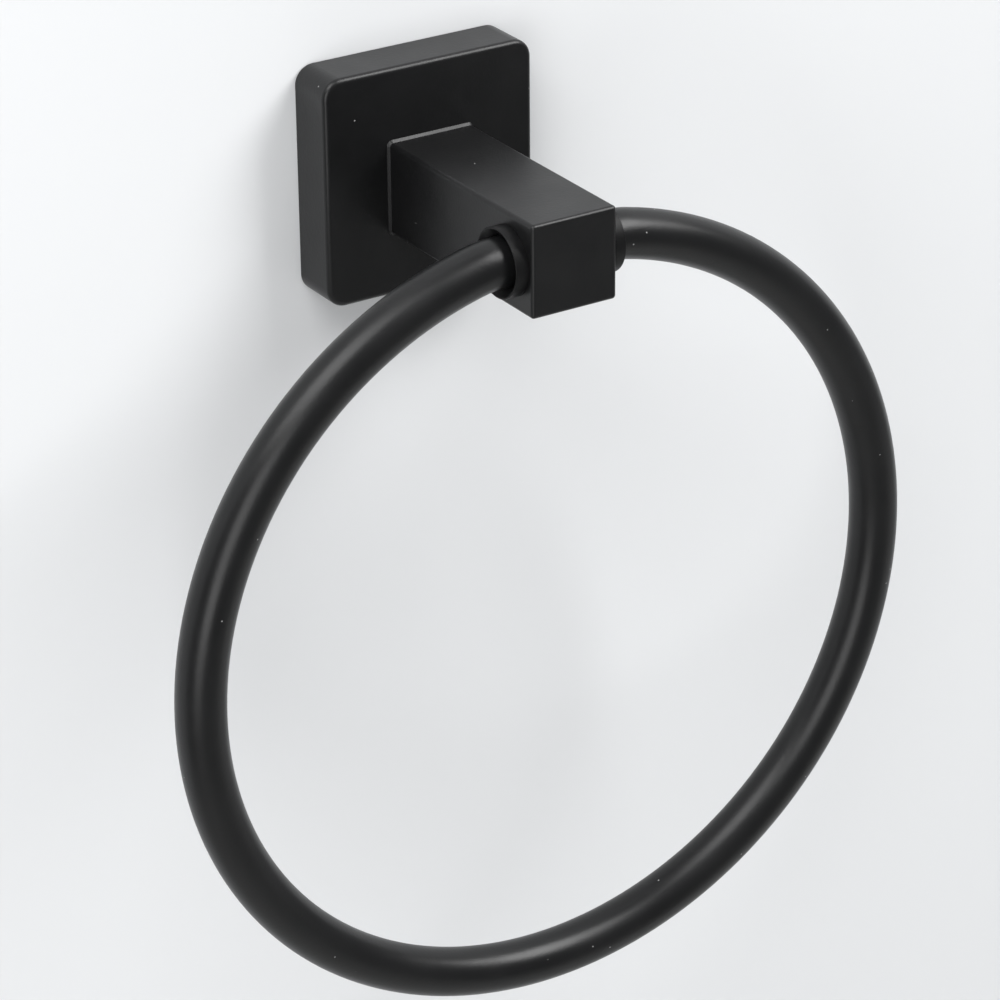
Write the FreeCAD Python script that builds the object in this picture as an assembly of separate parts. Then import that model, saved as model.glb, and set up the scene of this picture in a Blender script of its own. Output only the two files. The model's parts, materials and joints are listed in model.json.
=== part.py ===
import FreeCAD, Part
import math
import os

# Wall-mounted towel ring, millimetres.
# The wall is the plane y = 0 and the ring stands out towards -Y. +Z is up, +X is to the right.
# The origin is the centre of the cover's back edge, on the wall.

# Cover: a square, hollow shell that hides the wall fixing
cover_side = 50.0
cover_depth = 12.0
cover_corner_r = 4.2
cover_wall = 2.0
cover_face_t = 2.4
cover_front_round = 1.1
cover_back_round = 0.4
cover_inner_round = 0.5

# Post: a square bar that stands on the cover's face
post_side = 20.0
post_reach = 66.5
post_drop = 1.0
post_edge_round = 0.8
post_foot_flare = 0.5
post_foot_t = 0.65
spigot_side = 9.0
spigot_clearance = 0.15
spigot_short = 0.4

# Screw that holds the post on the cover, with its two washers
screw_d = 5.0
screw_length = 16.0
screw_head_d = 9.5
screw_head_h = 2.75
screw_head_round = 1.2
screw_socket_across = 3.0
screw_socket_depth = 1.6
screw_tip_bevel = 0.6
thread_clearance = 0.02
tapped_extra = 3.0
tapped_mouth = 0.5
flat_washer_d = 15.0
flat_washer_t = 1.2
washer_clearance = 0.2
spring_washer_d = 9.2
spring_washer_t = 1.2
spring_washer_gap = 0.9
spring_washer_lean = 25.0

# Ring: a round tube bent to a hoop, with straight ends on the pivot line
tube_d = 10.5
tube_wall = 1.0
hoop_r = 83.0
end_bend_r = 20.0

# Pivot: a collared bush on each side of the post carries one end of the tube
pivot_setback = 8.5
bush_sleeve_wall = 1.0
bush_sleeve_length = 7.5
bush_stand_off = 3.0
bush_collar_d = 14.8
bush_mouth_wall = 0.35
bush_mouth_depth = 2.2
bush_edge_bevel = 0.15
bush_fit = 0.02
running_clearance = 0.05
tube_in_bush = 6.5
bend_clearance = 0.5

# Wall bracket: a folded steel plate that the cover hooks over
bracket_w = 30.0
bracket_t = 1.5
bracket_reach = 8.0
bracket_bend_r = 0.6
bracket_corner_r = 2.0
hook_drop = 1.2
hook_clearance = 0.2
hook_gap = 0.3
hook_seat_gap = 0.05
rib_t = 2.5
rib_back = 1.5
rib_margin = 1.0
bolt_spacing = 20.0
bolt_slot_w = 5.0
bolt_slot_length = 8.0

# Grub screw: locks the cover to the bracket from below
grub_d = 4.0
grub_length = 6.0
grub_sunk = 0.4
grub_socket_across = 2.0
grub_socket_depth = 2.5
grub_cup_d = 2.0
grub_cup_depth = 0.4
grub_tip_bevel = 0.5
grub_boss_d = 8.0
grub_boss_h = 3.0
grub_mouth = 0.3

# How far a cutting tool runs past the surface it cuts through
overshoot = 1.0

# Places that follow from the sizes above
post_z = -post_drop
face_in_y = -(cover_depth - cover_face_t)
pivot_y = -(post_reach - pivot_setback)
pivot_z = post_z
post_half = post_side / 2
flange_x = post_half + bush_stand_off
bend_start_x = flange_x + bend_clearance
tube_end_x = post_half - tube_in_bush
hoop_drop = end_bend_r + math.sqrt((hoop_r - end_bend_r) ** 2 - bend_start_x ** 2)
hoop_z = pivot_z - hoop_drop
bush_bore_r = tube_d / 2 + running_clearance
sleeve_r = bush_bore_r + bush_sleeve_wall
post_bore_r = sleeve_r + bush_fit
inner_half = cover_side / 2 - cover_wall
grub_y = -(cover_depth - cover_face_t) / 2 - bracket_t / 2
grub_foot_z = -cover_side / 2 + grub_sunk
grub_tip_z = grub_foot_z + grub_length


def vec(x, y, z):
    return FreeCAD.Vector(x, y, z)


def block(x_min, x_max, y_min, y_max, z_min, z_max):
    return Part.makeBox(x_max - x_min, y_max - y_min, z_max - z_min, vec(x_min, y_min, z_min))


def rod(radius, start, end):
    line = end - start
    return Part.makeCylinder(radius, line.Length, start, line)


def parallel_edges(shape, direction):
    found = []
    for edge in shape.Edges:
        if edge.Curve.TypeId != "Part::GeomLine":
            continue
        if abs(abs(edge.Curve.Direction.dot(direction)) - 1.0) < 1e-6:
            found.append(edge)
    return found


def edges_at_y(shape, y):
    return [e for e in shape.Edges if abs(e.BoundBox.YMin - y) < 1e-4 and abs(e.BoundBox.YMax - y) < 1e-4]


def turned(points, centre, axis):
    # A solid of revolution: each point is (distance along the axis, radius).
    across = vec(0, 0, 1) if abs(axis.z) < 0.5 else vec(0, 1, 0)
    corners = [centre + axis * along + across * radius for along, radius in points]
    face = Part.Face(Part.makePolygon(corners + corners[:1]))
    return face.revolve(centre, axis, 360)


def hole_mouth(radius, bevel, centre, inward):
    # A cone that bevels a hole's rim and reaches a little outside the surface.
    points = [(-bevel, 0), (-bevel, radius + 2 * bevel), (bevel, radius), (bevel, 0)]
    return turned(points, centre, inward)


def hex_prism(across_flats, start, direction, length):
    radius = across_flats / math.sqrt(3)
    side = direction.cross(vec(1, 0, 0))
    if side.Length < 0.5:
        side = vec(0, 0, 1)
    side.normalize()
    other = direction.cross(side)
    corners = []
    for step in range(6):
        angle = math.radians(60 * step)
        corners.append(start + side * radius * math.cos(angle) + other * radius * math.sin(angle))
    return Part.Face(Part.makePolygon(corners + corners[:1])).extrude(direction * length)


def make_cover():
    half = cover_side / 2
    outer = block(-half, half, -cover_depth, 0, -half, half)
    outer = outer.makeFillet(cover_corner_r, parallel_edges(outer, vec(0, 1, 0)))
    outer = outer.makeFillet(cover_front_round, edges_at_y(outer, -cover_depth))
    outer = outer.makeFillet(cover_back_round, edges_at_y(outer, 0))
    cavity = block(-inner_half, inner_half, face_in_y, overshoot, -inner_half, inner_half)
    inner_corner_r = max(cover_corner_r - cover_wall, cover_inner_round)
    cavity = cavity.makeFillet(inner_corner_r, parallel_edges(cavity, vec(0, 1, 0)))
    cavity = cavity.makeFillet(cover_inner_round, edges_at_y(cavity, face_in_y))
    shell = outer.cut(cavity)

    # Rib inside the top wall, which hooks behind the bracket's lip
    rib_half = bracket_w / 2 + rib_margin
    rib_low = inner_half - hook_drop
    rib = block(-rib_half, rib_half, -rib_back - rib_t, -rib_back, rib_low, inner_half + cover_wall / 2)
    # Boss inside the bottom wall, which gives the grub screw its thread
    boss_foot = vec(0, grub_y, -half + cover_wall / 2)
    boss = rod(grub_boss_d / 2, boss_foot, vec(0, grub_y, -inner_half + grub_boss_h))
    shell = shell.fuse([rib, boss]).removeSplitter()

    # Square hole that the post's spigot stands in, and the threaded hole
    hole_half = spigot_side / 2 + spigot_clearance
    low = post_z - hole_half
    front = -cover_depth - overshoot
    hole = block(-hole_half, hole_half, front, face_in_y + overshoot, low, low + 2 * hole_half)
    grub_hole_r = grub_d / 2 + thread_clearance
    grub_hole = rod(grub_hole_r, vec(0, grub_y, -half - overshoot), vec(0, grub_y, 0))
    mouth = hole_mouth(grub_hole_r, grub_mouth, vec(0, grub_y, -half), vec(0, 0, 1))
    return shell.cut([hole, grub_hole, mouth])


def make_post():
    bar = block(-post_half, post_half, -post_reach, -cover_depth, post_z - post_half, post_z + post_half)
    bar = bar.makeFillet(post_edge_round, parallel_edges(bar, vec(0, 1, 0)) + edges_at_y(bar, -post_reach))

    # Foot: the root flares out to a thin edge where it meets the cover
    foot_half = post_half + post_foot_flare
    foot_front = -cover_depth - post_foot_t
    foot = block(-foot_half, foot_half, foot_front, -cover_depth, post_z - foot_half, post_z + foot_half)
    foot = foot.makeFillet(post_edge_round + post_foot_flare, parallel_edges(foot, vec(0, 1, 0)))
    foot = foot.makeChamfer(post_foot_flare, edges_at_y(foot, foot_front))
    spigot_half = spigot_side / 2
    spigot_end = face_in_y - spigot_short
    low = post_z - spigot_half
    inside_bar = -cover_depth - post_foot_t
    spigot = block(-spigot_half, spigot_half, inside_bar, spigot_end, low, low + spigot_side)
    bar = bar.fuse([foot, spigot]).removeSplitter()

    # Cross hole for the two bushes, and the tapped hole for the screw
    cross = rod(post_bore_r, vec(-post_side, pivot_y, pivot_z), vec(post_side, pivot_y, pivot_z))
    screw_tip_y = head_seat_y() - screw_length
    tapped_r = screw_d / 2 + thread_clearance
    hole_end = vec(0, screw_tip_y - tapped_extra, post_z)
    tapped = rod(tapped_r, vec(0, spigot_end + overshoot, post_z), hole_end)
    mouth = hole_mouth(tapped_r, tapped_mouth, vec(0, spigot_end, post_z), vec(0, -1, 0))
    return bar.cut([cross, tapped, mouth])


def head_seat_y():
    return face_in_y + flat_washer_t + spring_washer_t


def make_post_screw():
    head_y = head_seat_y()
    head_r = screw_head_d / 2
    shank = rod(screw_d / 2, vec(0, head_y, post_z), vec(0, head_y - screw_length, post_z))
    shank = shank.makeChamfer(screw_tip_bevel, edges_at_y(shank, head_y - screw_length))
    head = rod(head_r, vec(0, head_y, post_z), vec(0, head_y + screw_head_h, post_z))
    head = head.makeFillet(screw_head_round, edges_at_y(head, head_y + screw_head_h))
    top = vec(0, head_y + screw_head_h, post_z)
    socket = hex_prism(screw_socket_across, top, vec(0, -1, 0), screw_socket_depth)
    return shank.fuse(head).removeSplitter().cut(socket)


def washer(outer_d, thickness, y):
    front = vec(0, y, post_z)
    thick = vec(0, thickness, 0)
    hole = rod(screw_d / 2 + washer_clearance, front - thick, front + 2 * thick)
    return rod(outer_d / 2, front, front + thick).cut(hole)


def make_flat_washer():
    return washer(flat_washer_d, flat_washer_t, face_in_y)


def make_spring_washer():
    disc = washer(spring_washer_d, spring_washer_t, face_in_y + flat_washer_t)
    # One turn of square wire, pressed flat: its two ends leave a slanting gap
    middle = vec(0, face_in_y + flat_washer_t + spring_washer_t / 2, post_z)
    gap_half = spring_washer_gap / 2
    split = block(-gap_half, gap_half, -spring_washer_d, spring_washer_d, 0, spring_washer_d)
    split.translate(middle)
    split.rotate(middle, vec(0, 0, 1), spring_washer_lean)
    return disc.cut(split)


def make_bush(side):
    # side is +1 on the right of the post and -1 on its left
    collar_r = bush_collar_d / 2
    edge = bush_edge_bevel
    back = -bush_sleeve_length
    front = bush_stand_off
    profile = [
        (back, bush_bore_r),
        (back, sleeve_r),
        (0, sleeve_r),
        (0, collar_r),
        (front - edge, collar_r),
        (front, collar_r - edge),
        (front, collar_r - bush_mouth_wall),
        (front - bush_mouth_depth, bush_bore_r),
    ]
    return turned(profile, vec(side * post_half, pivot_y, pivot_z), vec(side, 0, 0))


def hoop_path():
    # Straight end, bend, hoop, bend, straight end, all in the plane y = pivot_y
    turn = math.atan2(bend_start_x, hoop_drop - end_bend_r)
    bend_z = pivot_z - end_bend_r

    def bend_point(side, angle):
        x = bend_start_x + end_bend_r * math.sin(angle)
        return vec(side * x, pivot_y, bend_z + end_bend_r * math.cos(angle))

    edges = []
    for side in (1, -1):
        start = vec(side * tube_end_x, pivot_y, pivot_z)
        bend_start = vec(side * bend_start_x, pivot_y, pivot_z)
        straight = Part.LineSegment(start, bend_start).toShape()
        bend = Part.Arc(bend_start, bend_point(side, turn / 2), bend_point(side, turn)).toShape()
        edges.extend([straight, bend])
    hoop = Part.Arc(bend_point(1, turn), vec(0, pivot_y, hoop_z - hoop_r), bend_point(-1, turn)).toShape()
    edges.append(hoop)
    return Part.Wire(Part.__sortEdges__(edges))


def make_ring():
    path = hoop_path()
    start = vec(tube_end_x, pivot_y, pivot_z)
    if (path.OrderedVertexes[0].Point - start).Length > 1e-6:
        start = vec(-tube_end_x, pivot_y, pivot_z)
    skins = []
    for radius in (tube_d / 2, tube_d / 2 - tube_wall):
        circle = Part.Wire(Part.makeCircle(radius, start, vec(1, 0, 0)))
        skins.append(path.makePipeShell([circle], True, False))
    return skins[0].cut(skins[1])


def make_wall_bracket():
    # A web on the wall, with a hooked flange on top and a plain flange below
    half = bracket_w / 2
    flange_top = inner_half - hook_drop - hook_clearance
    lip_top = inner_half - hook_seat_gap
    low = grub_tip_z
    lip_back = -rib_back - rib_t - hook_gap
    lip_front = lip_back - bracket_t
    web = block(-half, half, -bracket_t, 0, low, flange_top)
    upper = block(-half, half, lip_front, 0, flange_top - bracket_t, flange_top)
    lip = block(-half, half, lip_front, lip_back, flange_top - bracket_t, lip_top)
    lower = block(-half, half, -bracket_reach, 0, low, low + bracket_t)
    plate = web.fuse([upper, lip, lower]).removeSplitter()

    def bend_edges(places):
        found = []
        for edge in parallel_edges(plate, vec(1, 0, 0)):
            centre = edge.CenterOfMass
            for y, z in places:
                if abs(centre.y - y) < 1e-4 and abs(centre.z - z) < 1e-4:
                    found.append(edge)
        return found

    flange_low = flange_top - bracket_t
    outside = [(0, flange_top), (0, low), (lip_front, flange_low)]
    inside = [(-bracket_t, flange_low), (-bracket_t, low + bracket_t), (lip_back, flange_top)]
    plate = plate.makeFillet(bracket_bend_r + bracket_t, bend_edges(outside))
    plate = plate.makeFillet(bracket_bend_r, bend_edges(inside))
    upright = parallel_edges(plate, vec(0, 0, 1))
    corners = [e for e in upright if abs(e.CenterOfMass.y + bracket_reach) < 1e-4]
    plate = plate.makeFillet(bracket_corner_r, corners)

    # Two upright slots, one above the other, so the plate can be set level before it is tightened
    slots = []
    slot_r = bolt_slot_w / 2
    slot_front = -bracket_t - overshoot
    straight = (bolt_slot_length - bolt_slot_w) / 2
    for z in (-bolt_spacing / 2, bolt_spacing / 2):
        for end in (z - straight, z + straight):
            slots.append(rod(slot_r, vec(0, overshoot, end), vec(0, slot_front, end)))
        slots.append(block(-slot_r, slot_r, slot_front, overshoot, z - straight, z + straight))
    return plate.cut(slots)


def make_grub_screw():
    radius = grub_d / 2
    foot = vec(0, grub_y, grub_foot_z)
    profile = [
        (0, 0),
        (0, radius - grub_mouth),
        (grub_mouth, radius),
        (grub_length - grub_tip_bevel, radius),
        (grub_length, radius - grub_tip_bevel),
        (grub_length, grub_cup_d / 2),
        (grub_length - grub_cup_depth, 0),
    ]
    body = turned(profile, foot, vec(0, 0, 1))
    return body.cut(hex_prism(grub_socket_across, foot, vec(0, 0, 1), grub_socket_depth))


os.makedirs("parts", exist_ok=True)
nodes = {
    "cover": make_cover(),
    "post": make_post(),
    "post_screw": make_post_screw(),
    "flat_washer": make_flat_washer(),
    "spring_washer": make_spring_washer(),
    "left_bush": make_bush(-1),
    "right_bush": make_bush(1),
    "ring": make_ring(),
    "wall_bracket": make_wall_bracket(),
    "grub_screw": make_grub_screw(),
}
for name, shape in nodes.items():
    solid = shape.Solids[0] if len(shape.Solids) == 1 else shape
    print(name, "valid", solid.isValid(), "solids", len(shape.Solids), "volume", round(solid.Volume, 1))
    solid.exportStep("parts/" + name + ".step")
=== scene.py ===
import bpy
import bmesh
import json
import math
from mathutils import Matrix, Vector


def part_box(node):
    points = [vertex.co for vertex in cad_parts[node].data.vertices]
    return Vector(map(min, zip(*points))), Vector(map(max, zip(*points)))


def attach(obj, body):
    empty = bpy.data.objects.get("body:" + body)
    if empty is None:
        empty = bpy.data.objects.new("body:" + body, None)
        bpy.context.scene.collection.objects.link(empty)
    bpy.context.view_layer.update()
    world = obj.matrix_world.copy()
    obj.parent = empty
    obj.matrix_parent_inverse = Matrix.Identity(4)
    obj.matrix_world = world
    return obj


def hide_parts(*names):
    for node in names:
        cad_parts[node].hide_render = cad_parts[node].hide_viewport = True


# Towel ring: a square cover on the wall, a square post, and a round ring that swings from two bushes
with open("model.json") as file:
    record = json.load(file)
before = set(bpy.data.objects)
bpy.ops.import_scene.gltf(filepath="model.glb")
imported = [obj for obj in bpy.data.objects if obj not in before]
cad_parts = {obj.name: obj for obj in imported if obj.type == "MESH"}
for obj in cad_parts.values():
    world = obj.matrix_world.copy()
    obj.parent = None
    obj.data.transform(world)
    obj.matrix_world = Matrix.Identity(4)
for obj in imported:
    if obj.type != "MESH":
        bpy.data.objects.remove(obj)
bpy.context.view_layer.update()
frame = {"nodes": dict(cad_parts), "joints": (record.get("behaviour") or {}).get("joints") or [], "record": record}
nodes = frame["nodes"]
mm = 0.001  # one millimetre, in metres
print("frame loaded:", len(nodes), "nodes")


# Materials

def newMaterial(name):
    material = bpy.data.materials.new(name)
    material.use_nodes = True
    tree = material.node_tree
    return material, tree, tree.nodes["Principled BSDF"]


def addNode(tree, kind, **values):
    node = tree.nodes.new(kind)
    for key, value in values.items():
        if hasattr(node, key):
            setattr(node, key, value)
        else:
            node.inputs[key].default_value = value
    return node


def objectNoise(tree, scale, detail=2.0):
    place = addNode(tree, "ShaderNodeTexCoord")
    noise = addNode(tree, "ShaderNodeTexNoise", Scale=scale, Detail=detail)
    tree.links.new(place.outputs["Object"], noise.inputs["Vector"])
    return noise.outputs["Fac"]


def ramp(tree, source, low, high, start=0.0, end=1.0):
    # Spreads the source's values from start to end over low to high
    node = addNode(tree, "ShaderNodeMapRange")
    node.inputs["From Min"].default_value = start
    node.inputs["From Max"].default_value = end
    node.inputs["To Min"].default_value = low
    node.inputs["To Max"].default_value = high
    tree.links.new(source, node.inputs["Value"])
    return node.outputs["Result"]


def blend(tree, factor, first, second):
    # Each of first and second is a colour or another node's output
    mix = addNode(tree, "ShaderNodeMix", data_type="RGBA")
    tree.links.new(factor, mix.inputs["Factor"])
    for socket, value in (("A", first), ("B", second)):
        if isinstance(value, bpy.types.NodeSocket):
            tree.links.new(value, mix.inputs[socket])
        else:
            mix.inputs[socket].default_value = value
    return mix.outputs["Result"]


bumpStrength = 0.5


def bumpNormal(tree, height, distance, before=None):
    # before is the normal of a coarser bump that this one lies on
    bump = addNode(tree, "ShaderNodeBump", Strength=bumpStrength, Distance=distance)
    tree.links.new(height, bump.inputs["Height"])
    if before:
        tree.links.new(before, bump.inputs["Normal"])
    return bump.outputs["Normal"]


coating = {
    "dark": (0.0032, 0.0033, 0.0036, 1.0),
    "light": (0.0056, 0.0057, 0.0060, 1.0),
    "roughLow": 0.32,
    "roughHigh": 0.38,
    "cloudPerMetre": 90.0,
    "cloudDetail": 3.0,
    "cloudStart": 0.3,
    "cloudEnd": 0.7,
    "grainPerMetre": 1500.0,
    "grainHeight": 0.04 * mm,
    "peelPerMetre": 420.0,
    "peelHeight": 0.014 * mm,
    "specksPerMetre": 220.0,
    "speckRadius": 0.16 * mm,
    "speckShare": 0.35,
    "speckColour": (0.30, 0.30, 0.30, 1.0),
    "specular": 0.35,
}


def dustSpecks(tree):
    # A few of the cells that the surface cuts through hold a speck
    place = addNode(tree, "ShaderNodeTexCoord")
    cells = addNode(tree, "ShaderNodeTexVoronoi", Scale=coating["specksPerMetre"])
    tree.links.new(place.outputs["Object"], cells.inputs["Vector"])
    near = addNode(tree, "ShaderNodeMath", operation="LESS_THAN")
    near.inputs[1].default_value = coating["speckRadius"] * coating["specksPerMetre"]
    tree.links.new(cells.outputs["Distance"], near.inputs[0])
    chosen = addNode(tree, "ShaderNodeMath", operation="LESS_THAN")
    chosen.inputs[1].default_value = coating["speckShare"]
    tree.links.new(cells.outputs["Color"], chosen.inputs[0])
    both = addNode(tree, "ShaderNodeMath", operation="MULTIPLY")
    tree.links.new(near.outputs["Value"], both.inputs[0])
    tree.links.new(chosen.outputs["Value"], both.inputs[1])
    return both.outputs["Value"]


def makeCoating():
    # Satin black coat: fine grain on a faint orange peel, a slow change of gloss, and a few pale specks
    material, tree, shader = newMaterial("satinBlackCoat")
    cloud = objectNoise(tree, coating["cloudPerMetre"], coating["cloudDetail"])
    black = blend(tree, cloud, coating["dark"], coating["light"])
    colour = blend(tree, dustSpecks(tree), black, coating["speckColour"])
    rough = ramp(tree, cloud, coating["roughLow"], coating["roughHigh"], coating["cloudStart"],
                 coating["cloudEnd"])
    peel = bumpNormal(tree, objectNoise(tree, coating["peelPerMetre"]), coating["peelHeight"])
    grain = bumpNormal(tree, objectNoise(tree, coating["grainPerMetre"]), coating["grainHeight"], peel)
    tree.links.new(colour, shader.inputs["Base Color"])
    tree.links.new(rough, shader.inputs["Roughness"])
    tree.links.new(grain, shader.inputs["Normal"])
    shader.inputs["Specular IOR Level"].default_value = coating["specular"]
    return material


nylon = {
    "dark": (0.0022, 0.0022, 0.0024, 1.0),
    "light": (0.0040, 0.0040, 0.0043, 1.0),
    "roughLow": 0.42,
    "roughHigh": 0.50,
    "cloudPerMetre": 400.0,
    "grainPerMetre": 3200.0,
    "grainHeight": 0.004 * mm,
    "specular": 0.2,
}


def makeNylon():
    # Moulded black nylon: duller than the coat, with a very fine grain
    material, tree, shader = newMaterial("blackNylon")
    cloud = objectNoise(tree, nylon["cloudPerMetre"])
    grain = bumpNormal(tree, objectNoise(tree, nylon["grainPerMetre"]), nylon["grainHeight"])
    tree.links.new(blend(tree, cloud, nylon["dark"], nylon["light"]), shader.inputs["Base Color"])
    tree.links.new(ramp(tree, cloud, nylon["roughLow"], nylon["roughHigh"]), shader.inputs["Roughness"])
    tree.links.new(grain, shader.inputs["Normal"])
    shader.inputs["Specular IOR Level"].default_value = nylon["specular"]
    return material


zinc = {
    "dull": (0.42, 0.43, 0.45, 1.0),
    "bright": (0.62, 0.63, 0.64, 1.0),
    "roughLow": 0.24,
    "roughHigh": 0.40,
    "cloudPerMetre": 350.0,
    "cloudDetail": 4.0,
    "grainPerMetre": 2200.0,
    "grainHeight": 0.005 * mm,
}


def makeZinc():
    # Zinc-plated steel: mottled between a dull and a bright grey
    material, tree, shader = newMaterial("zincPlatedSteel")
    cloud = objectNoise(tree, zinc["cloudPerMetre"], zinc["cloudDetail"])
    grain = bumpNormal(tree, objectNoise(tree, zinc["grainPerMetre"]), zinc["grainHeight"])
    tree.links.new(blend(tree, cloud, zinc["dull"], zinc["bright"]), shader.inputs["Base Color"])
    tree.links.new(ramp(tree, cloud, zinc["roughLow"], zinc["roughHigh"]), shader.inputs["Roughness"])
    tree.links.new(grain, shader.inputs["Normal"])
    shader.inputs["Metallic"].default_value = 1.0
    return material


satinCoat = makeCoating()
blackNylon = makeNylon()
zincSteel = makeZinc()
finishes = {"black_coat": satinCoat, "black_nylon": blackNylon, "zinc_steel": zincSteel}
for row in frame["record"]["subparts"]:
    node = nodes[row["node"]]
    for place in node.material_slots:
        place.material = finishes[row["material_slot"]]
print("materials made")


# Pieces

finish = {
    "mergeDistance": 0.001 * mm,
    "sharpDegrees": 38.0,
}


def finishPiece(name, bm, material, node, body):
    bmesh.ops.remove_doubles(bm, verts=bm.verts, dist=finish["mergeDistance"])
    bmesh.ops.recalc_face_normals(bm, faces=bm.faces)
    mesh = bpy.data.meshes.new(name)
    bm.to_mesh(mesh)
    bm.free()
    mesh.shade_smooth()
    mesh.set_sharp_from_angle(angle=math.radians(finish["sharpDegrees"]))
    mesh.materials.append(material)
    piece = bpy.data.objects.new(name, mesh)
    bpy.context.scene.collection.objects.link(piece)
    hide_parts(node)
    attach(piece, body)


ring = {
    "bendRadius": 20.0 * mm,
    "wall": 1.0 * mm,
    "endInset": 1.0 * mm,
    "stepsRound": 72,
    "degreesPerStep": 1.8,
}


def extendTube(bm, rim, move):
    # Draws the rim out straight and returns the new rim
    made = bmesh.ops.extrude_edge_only(bm, edges=rim)["geom"]
    moved = [item for item in made if isinstance(item, bmesh.types.BMVert)]
    bmesh.ops.translate(bm, verts=moved, vec=move)
    return [item for item in made if isinstance(item, bmesh.types.BMEdge) and len(item.link_faces) == 1]


def bendTube(bm, rim, centre, angle):
    # Turns the rim round a centre and returns the new rim
    steps = round(math.degrees(abs(angle)) / ring["degreesPerStep"])
    verts = list({vert for edge in rim for vert in edge.verts})
    made = bmesh.ops.spin(bm, geom=verts + rim, cent=centre, axis=(0, 1, 0), angle=angle, steps=steps)
    return [item for item in made["geom_last"] if isinstance(item, bmesh.types.BMEdge)]


def makeRing():
    low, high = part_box("ring")
    pivot = Vector(frame["joints"][0]["pos_m"])
    tubeRadius = (high.y - low.y) / 2
    hoopRadius = (high.x - low.x) / 2 - tubeRadius
    hoopCentre = Vector((0, pivot.y, low.z + tubeRadius + hoopRadius))
    bend = ring["bendRadius"]
    bendDrop = pivot.z - bend - hoopCentre.z
    # The bends start this far out, so that they run on into the hoop without a kink
    bendX = math.sqrt((hoopRadius - bend) ** 2 - bendDrop ** 2)
    bendAngle = math.atan2(bendX, bendDrop)
    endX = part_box("right_bush")[0].x + ring["endInset"]

    bm = bmesh.new()
    start = Matrix.Translation((-endX, pivot.y, pivot.z)) @ Matrix.Rotation(math.pi / 2, 4, "Y")
    bmesh.ops.create_circle(bm, segments=ring["stepsRound"], radius=tubeRadius, matrix=start)
    rim = extendTube(bm, list(bm.edges), (endX - bendX, 0, 0))
    rim = bendTube(bm, rim, (-bendX, pivot.y, pivot.z - bend), -bendAngle)
    rim = bendTube(bm, rim, hoopCentre, 2 * bendAngle - 2 * math.pi)
    rim = bendTube(bm, rim, (bendX, pivot.y, pivot.z - bend), -bendAngle)
    extendTube(bm, rim, (endX - bendX, 0, 0))
    bmesh.ops.recalc_face_normals(bm, faces=bm.faces)
    bmesh.ops.solidify(bm, geom=bm.faces, thickness=ring["wall"])
    finishPiece("ringTube", bm, satinCoat, "ring", "ring")


makeRing()
print("ring made")


bush = {
    "clearance": 0.05 * mm,
    "sleeveWall": 1.0 * mm,
    "sleeveLength": 7.5 * mm,
    "mouthWall": 0.35 * mm,
    "mouthDepth": 2.2 * mm,
    "edgeRound": 0.16 * mm,
    "edgeSteps": 4,
    "stepsRound": 96,
}


def makeBush(node, side):
    # side is 1 on the right of the post and -1 on its left
    low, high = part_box(node)
    collarRadius = (high.z - low.z) / 2
    boreRadius = (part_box("ring")[1].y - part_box("ring")[0].y) / 2 + bush["clearance"]
    sleeveRadius = boreRadius + bush["sleeveWall"]
    front = max(abs(low.x), abs(high.x))
    back = min(abs(low.x), abs(high.x))
    face = back + bush["sleeveLength"]
    outline = [
        (back, boreRadius),
        (back, sleeveRadius),
        (face, sleeveRadius),
        (face, collarRadius),
        (front, collarRadius),
        (front, collarRadius - bush["mouthWall"]),
        (front - bush["mouthDepth"], boreRadius),
    ]
    centre = (low + high) / 2
    bm = bmesh.new()
    verts = [bm.verts.new((side * along, centre.y, centre.z + radius)) for along, radius in outline]
    for first, second in zip(verts, verts[1:] + verts[:1]):
        bm.edges.new((first, second))
    lip = verts[4:6]  # the outer and inner corner of the collar's front
    bmesh.ops.bevel(bm, geom=lip, affect="VERTICES", offset=bush["edgeRound"], segments=bush["edgeSteps"],
                    profile=0.5, material=-1)
    bmesh.ops.spin(bm, geom=list(bm.verts) + list(bm.edges), cent=centre, axis=(1, 0, 0), angle=2 * math.pi,
                   steps=bush["stepsRound"], use_merge=True)
    finishPiece(node + "_turned", bm, blackNylon, node, "holder")


makeBush("left_bush", -1)
makeBush("right_bush", 1)
print("bushes made")


# Room: a pale wall behind, a pale floor far below

room = {
    "wallGap": 0.3 * mm,
    "wallHalfWidth": 2.5,
    "wallTop": 2.0,
    "windowHalf": 23.4 * mm,
    "floorZ": -1.3,
    "floorReach": 3.5,
    "wallPaint": {
        "colour": (0.74, 0.75, 0.76, 1.0),
        "rough": 0.8,
        "darken": 0.02,
        "cloudPerMetre": 3.0,
        "cloudDetail": 3.0,
    },
    "floorPaint": {
        "colour": (0.58, 0.58, 0.57, 1.0),
        "rough": 0.7,
        "darken": 0.03,
        "cloudPerMetre": 2.0,
        "cloudDetail": 3.0,
    },
}


def paintMaterial(name):
    # Matt paint, a little darker in places
    paint = room[name]
    material, tree, shader = newMaterial(name)
    cloud = objectNoise(tree, paint["cloudPerMetre"], paint["cloudDetail"])
    darker = [value * (1 - paint["darken"]) for value in paint["colour"][:3]] + [1.0]
    tree.links.new(blend(tree, cloud, darker, paint["colour"]), shader.inputs["Base Color"])
    shader.inputs["Roughness"].default_value = paint["rough"]
    return material


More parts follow.
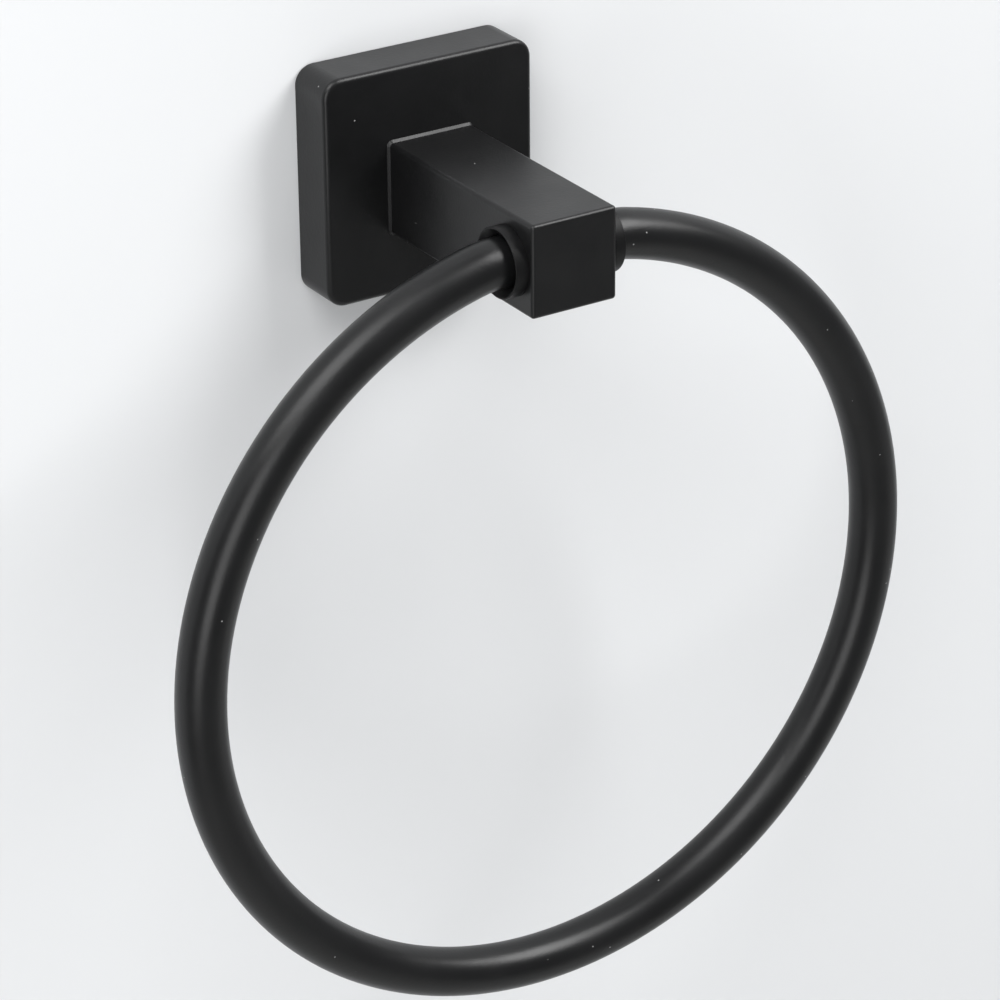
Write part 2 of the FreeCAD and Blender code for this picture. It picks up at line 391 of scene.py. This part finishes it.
def makeWall():
    # The wall has a window behind the cover and can't be seen from behind, so the back view isn't blocked
    material = paintMaterial("wallPaint")
    tree = material.node_tree
    shader = tree.nodes["Principled BSDF"]
    side = addNode(tree, "ShaderNodeNewGeometry")
    clear = addNode(tree, "ShaderNodeBsdfTransparent")
    mix = addNode(tree, "ShaderNodeMixShader")
    tree.links.new(side.outputs["Backfacing"], mix.inputs["Fac"])
    tree.links.new(shader.outputs["BSDF"], mix.inputs[1])
    tree.links.new(clear.outputs["BSDF"], mix.inputs[2])
    tree.links.new(mix.outputs["Shader"], tree.nodes["Material Output"].inputs["Surface"])

    bm = bmesh.new()
    middle = (room["wallTop"] + room["floorZ"]) / 2
    halfHeight = (room["wallTop"] - room["floorZ"]) / 2
    size = Matrix.Diagonal((room["wallHalfWidth"], halfHeight, 1, 1))
    place = Matrix.Translation((0, room["wallGap"], middle)) @ Matrix.Rotation(math.pi / 2, 4, "X")
    bmesh.ops.create_grid(bm, x_segments=1, y_segments=1, size=1, matrix=place @ size)
    for edge in (-room["windowHalf"], room["windowHalf"]):
        for axis in (Vector((1, 0, 0)), Vector((0, 0, 1))):
            everything = list(bm.verts) + list(bm.edges) + list(bm.faces)
            bmesh.ops.bisect_plane(bm, geom=everything, plane_co=axis * edge, plane_no=axis)
    window = [face for face in bm.faces if face.calc_center_median().xz.length < room["windowHalf"]]
    bmesh.ops.delete(bm, geom=window, context="FACES")
    addStage("wall", bm, material)


def makeFloor():
    bm = bmesh.new()
    place = Matrix.Translation((0, 0, room["floorZ"]))
    bmesh.ops.create_grid(bm, x_segments=1, y_segments=1, size=room["floorReach"], matrix=place)
    addStage("floor", bm, paintMaterial("floorPaint"))


def addStage(name, bm, material):
    mesh = bpy.data.meshes.new(name)
    bm.to_mesh(mesh)
    bm.free()
    mesh.materials.append(material)
    thing = bpy.data.objects.new(name, mesh)
    bpy.context.scene.collection.objects.link(thing)


makeWall()
makeFloor()
print("room made")


# Light

def direction(azimuth, elevation):
    # Azimuth 0 points out of the wall, along -Y; a positive one turns to the right
    turn = math.radians(azimuth)
    rise = math.radians(elevation)
    return Vector((math.sin(turn) * math.cos(rise), -math.cos(turn) * math.cos(rise), math.sin(rise)))


lights = {
    "worldColour": (0.86, 0.87, 0.89, 1.0),
    "worldStrength": 0.30,
    "aim": (0.0, -0.04, -0.08),
    "lamps": {
        "skyPanel": {
            "azimuth": -68, "elevation": 56, "distance": 1.6,
            "width": 1.6, "height": 0.9, "watts": 25,
        },
        "leftPanel": {
            "azimuth": -43, "elevation": 4, "distance": 1.5,
            "width": 0.8, "height": 1.3, "watts": 11,
        },
        "key": {
            "azimuth": 52, "elevation": 46, "distance": 2.0,
            "width": 1.1, "height": 1.1, "watts": 38,
        },
        "lowFill": {
            "azimuth": 66, "elevation": -34, "distance": 1.2,
            "width": 0.8, "height": 0.8, "watts": 0.6,
        },
    },
}


def makeLight():
    world = bpy.data.worlds.new("studio")
    bpy.context.scene.world = world
    world.use_nodes = True
    background = world.node_tree.nodes["Background"]
    background.inputs["Color"].default_value = lights["worldColour"]
    background.inputs["Strength"].default_value = lights["worldStrength"]
    for name, lamp in lights["lamps"].items():
        light = bpy.data.lights.new(name, "AREA")
        light.shape = "RECTANGLE"
        light.size = lamp["width"]
        light.size_y = lamp["height"]
        light.energy = lamp["watts"]
        holder = bpy.data.objects.new(name, light)
        bpy.context.scene.collection.objects.link(holder)
        holder.visible_camera = False
        away = direction(lamp["azimuth"], lamp["elevation"])
        holder.location = Vector(lights["aim"]) + away * lamp["distance"]
        holder.rotation_euler = away.to_track_quat("Z", "Y").to_euler()


makeLight()
print("light made")


# Camera: the photograph's viewing angle

view = {
    "azimuth": -32.098,
    "elevation": 26.02,
    "roll": -0.513,
    "distance": 0.91161,
    "lens": 148.047,
    "sensor": 36.0,
    "target": (0.023759, 0.0, -0.086543),
    "clipStart": 0.01,
    "clipEnd": 50.0,
}


def makeCamera():
    camera = bpy.data.objects.new("camera", bpy.data.cameras.new("camera"))
    bpy.context.scene.collection.objects.link(camera)
    camera.data.lens = view["lens"]
    camera.data.sensor_width = view["sensor"]
    back = direction(view["azimuth"], view["elevation"])
    camera.location = Vector(view["target"]) + back * view["distance"]
    aim = back.to_track_quat("Z", "Y").to_matrix().to_4x4()
    camera.rotation_euler = (aim @ Matrix.Rotation(math.radians(view["roll"]), 4, "Z")).to_euler()
    camera.data.clip_start = view["clipStart"]
    camera.data.clip_end = view["clipEnd"]
    bpy.context.scene.camera = camera


makeCamera()
bpy.context.scene.view_settings.view_transform = "Standard"
print("camera made")
